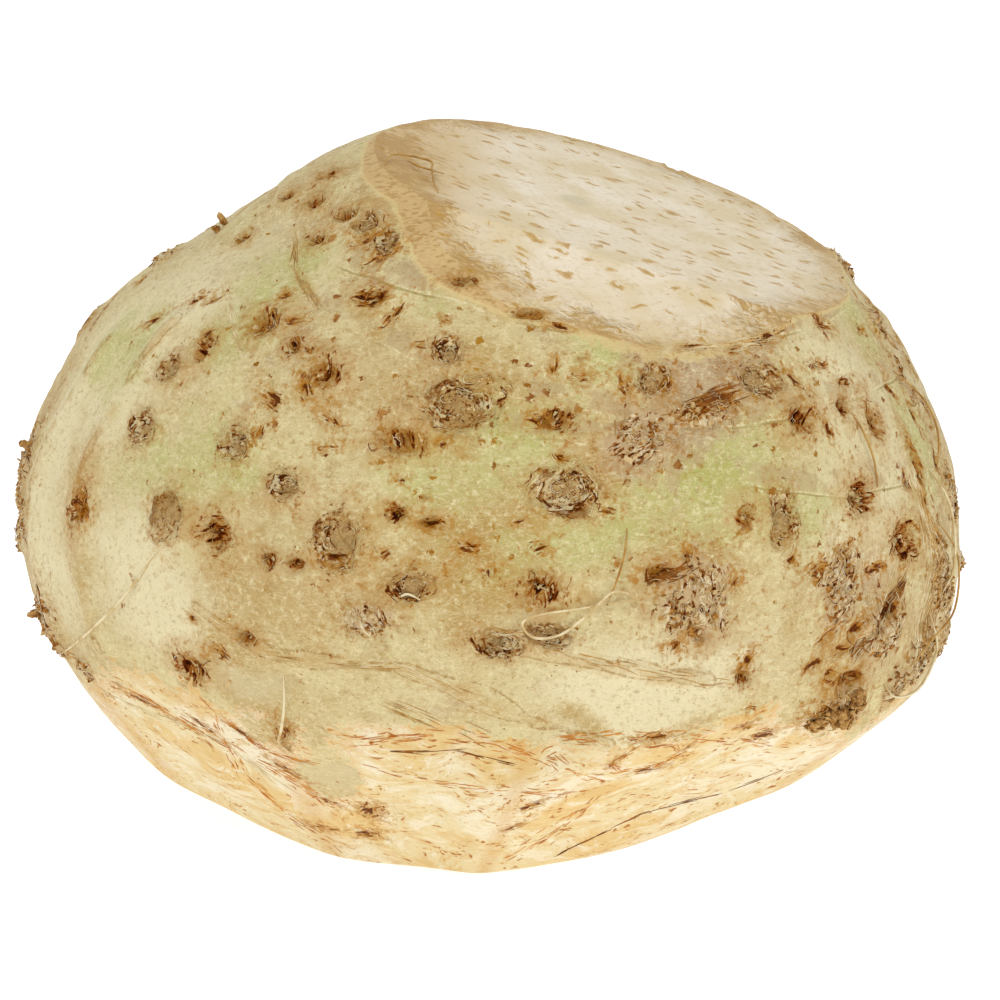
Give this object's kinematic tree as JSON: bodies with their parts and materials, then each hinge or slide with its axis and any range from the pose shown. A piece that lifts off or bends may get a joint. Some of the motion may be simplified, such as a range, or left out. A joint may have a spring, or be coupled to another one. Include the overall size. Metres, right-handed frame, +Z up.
{
  "type": "celeriac root",
  "caption": "Trimmed celeriac root: a wide knobbly globe with side-root scars, its leafy crown sliced off at a slant and its root end pared to a flat that it rests on.",
  "frame": {"origin": "on the flat that the root rests on, under the middle of its outline seen from above", "axes": "+Z up from the flat, +X along the root's widest way towards the side where the crown cut slopes down, -Y towards the side with the pared strip along the crown"},
  "size_m": [0.136, 0.1228, 0.0993],
  "materials": {
    "celeriac_skin": "matte"
  },
  "bodies": {
    "root": {"celeriac_root": "celeriac_skin"}
  },
  "joints": []
}
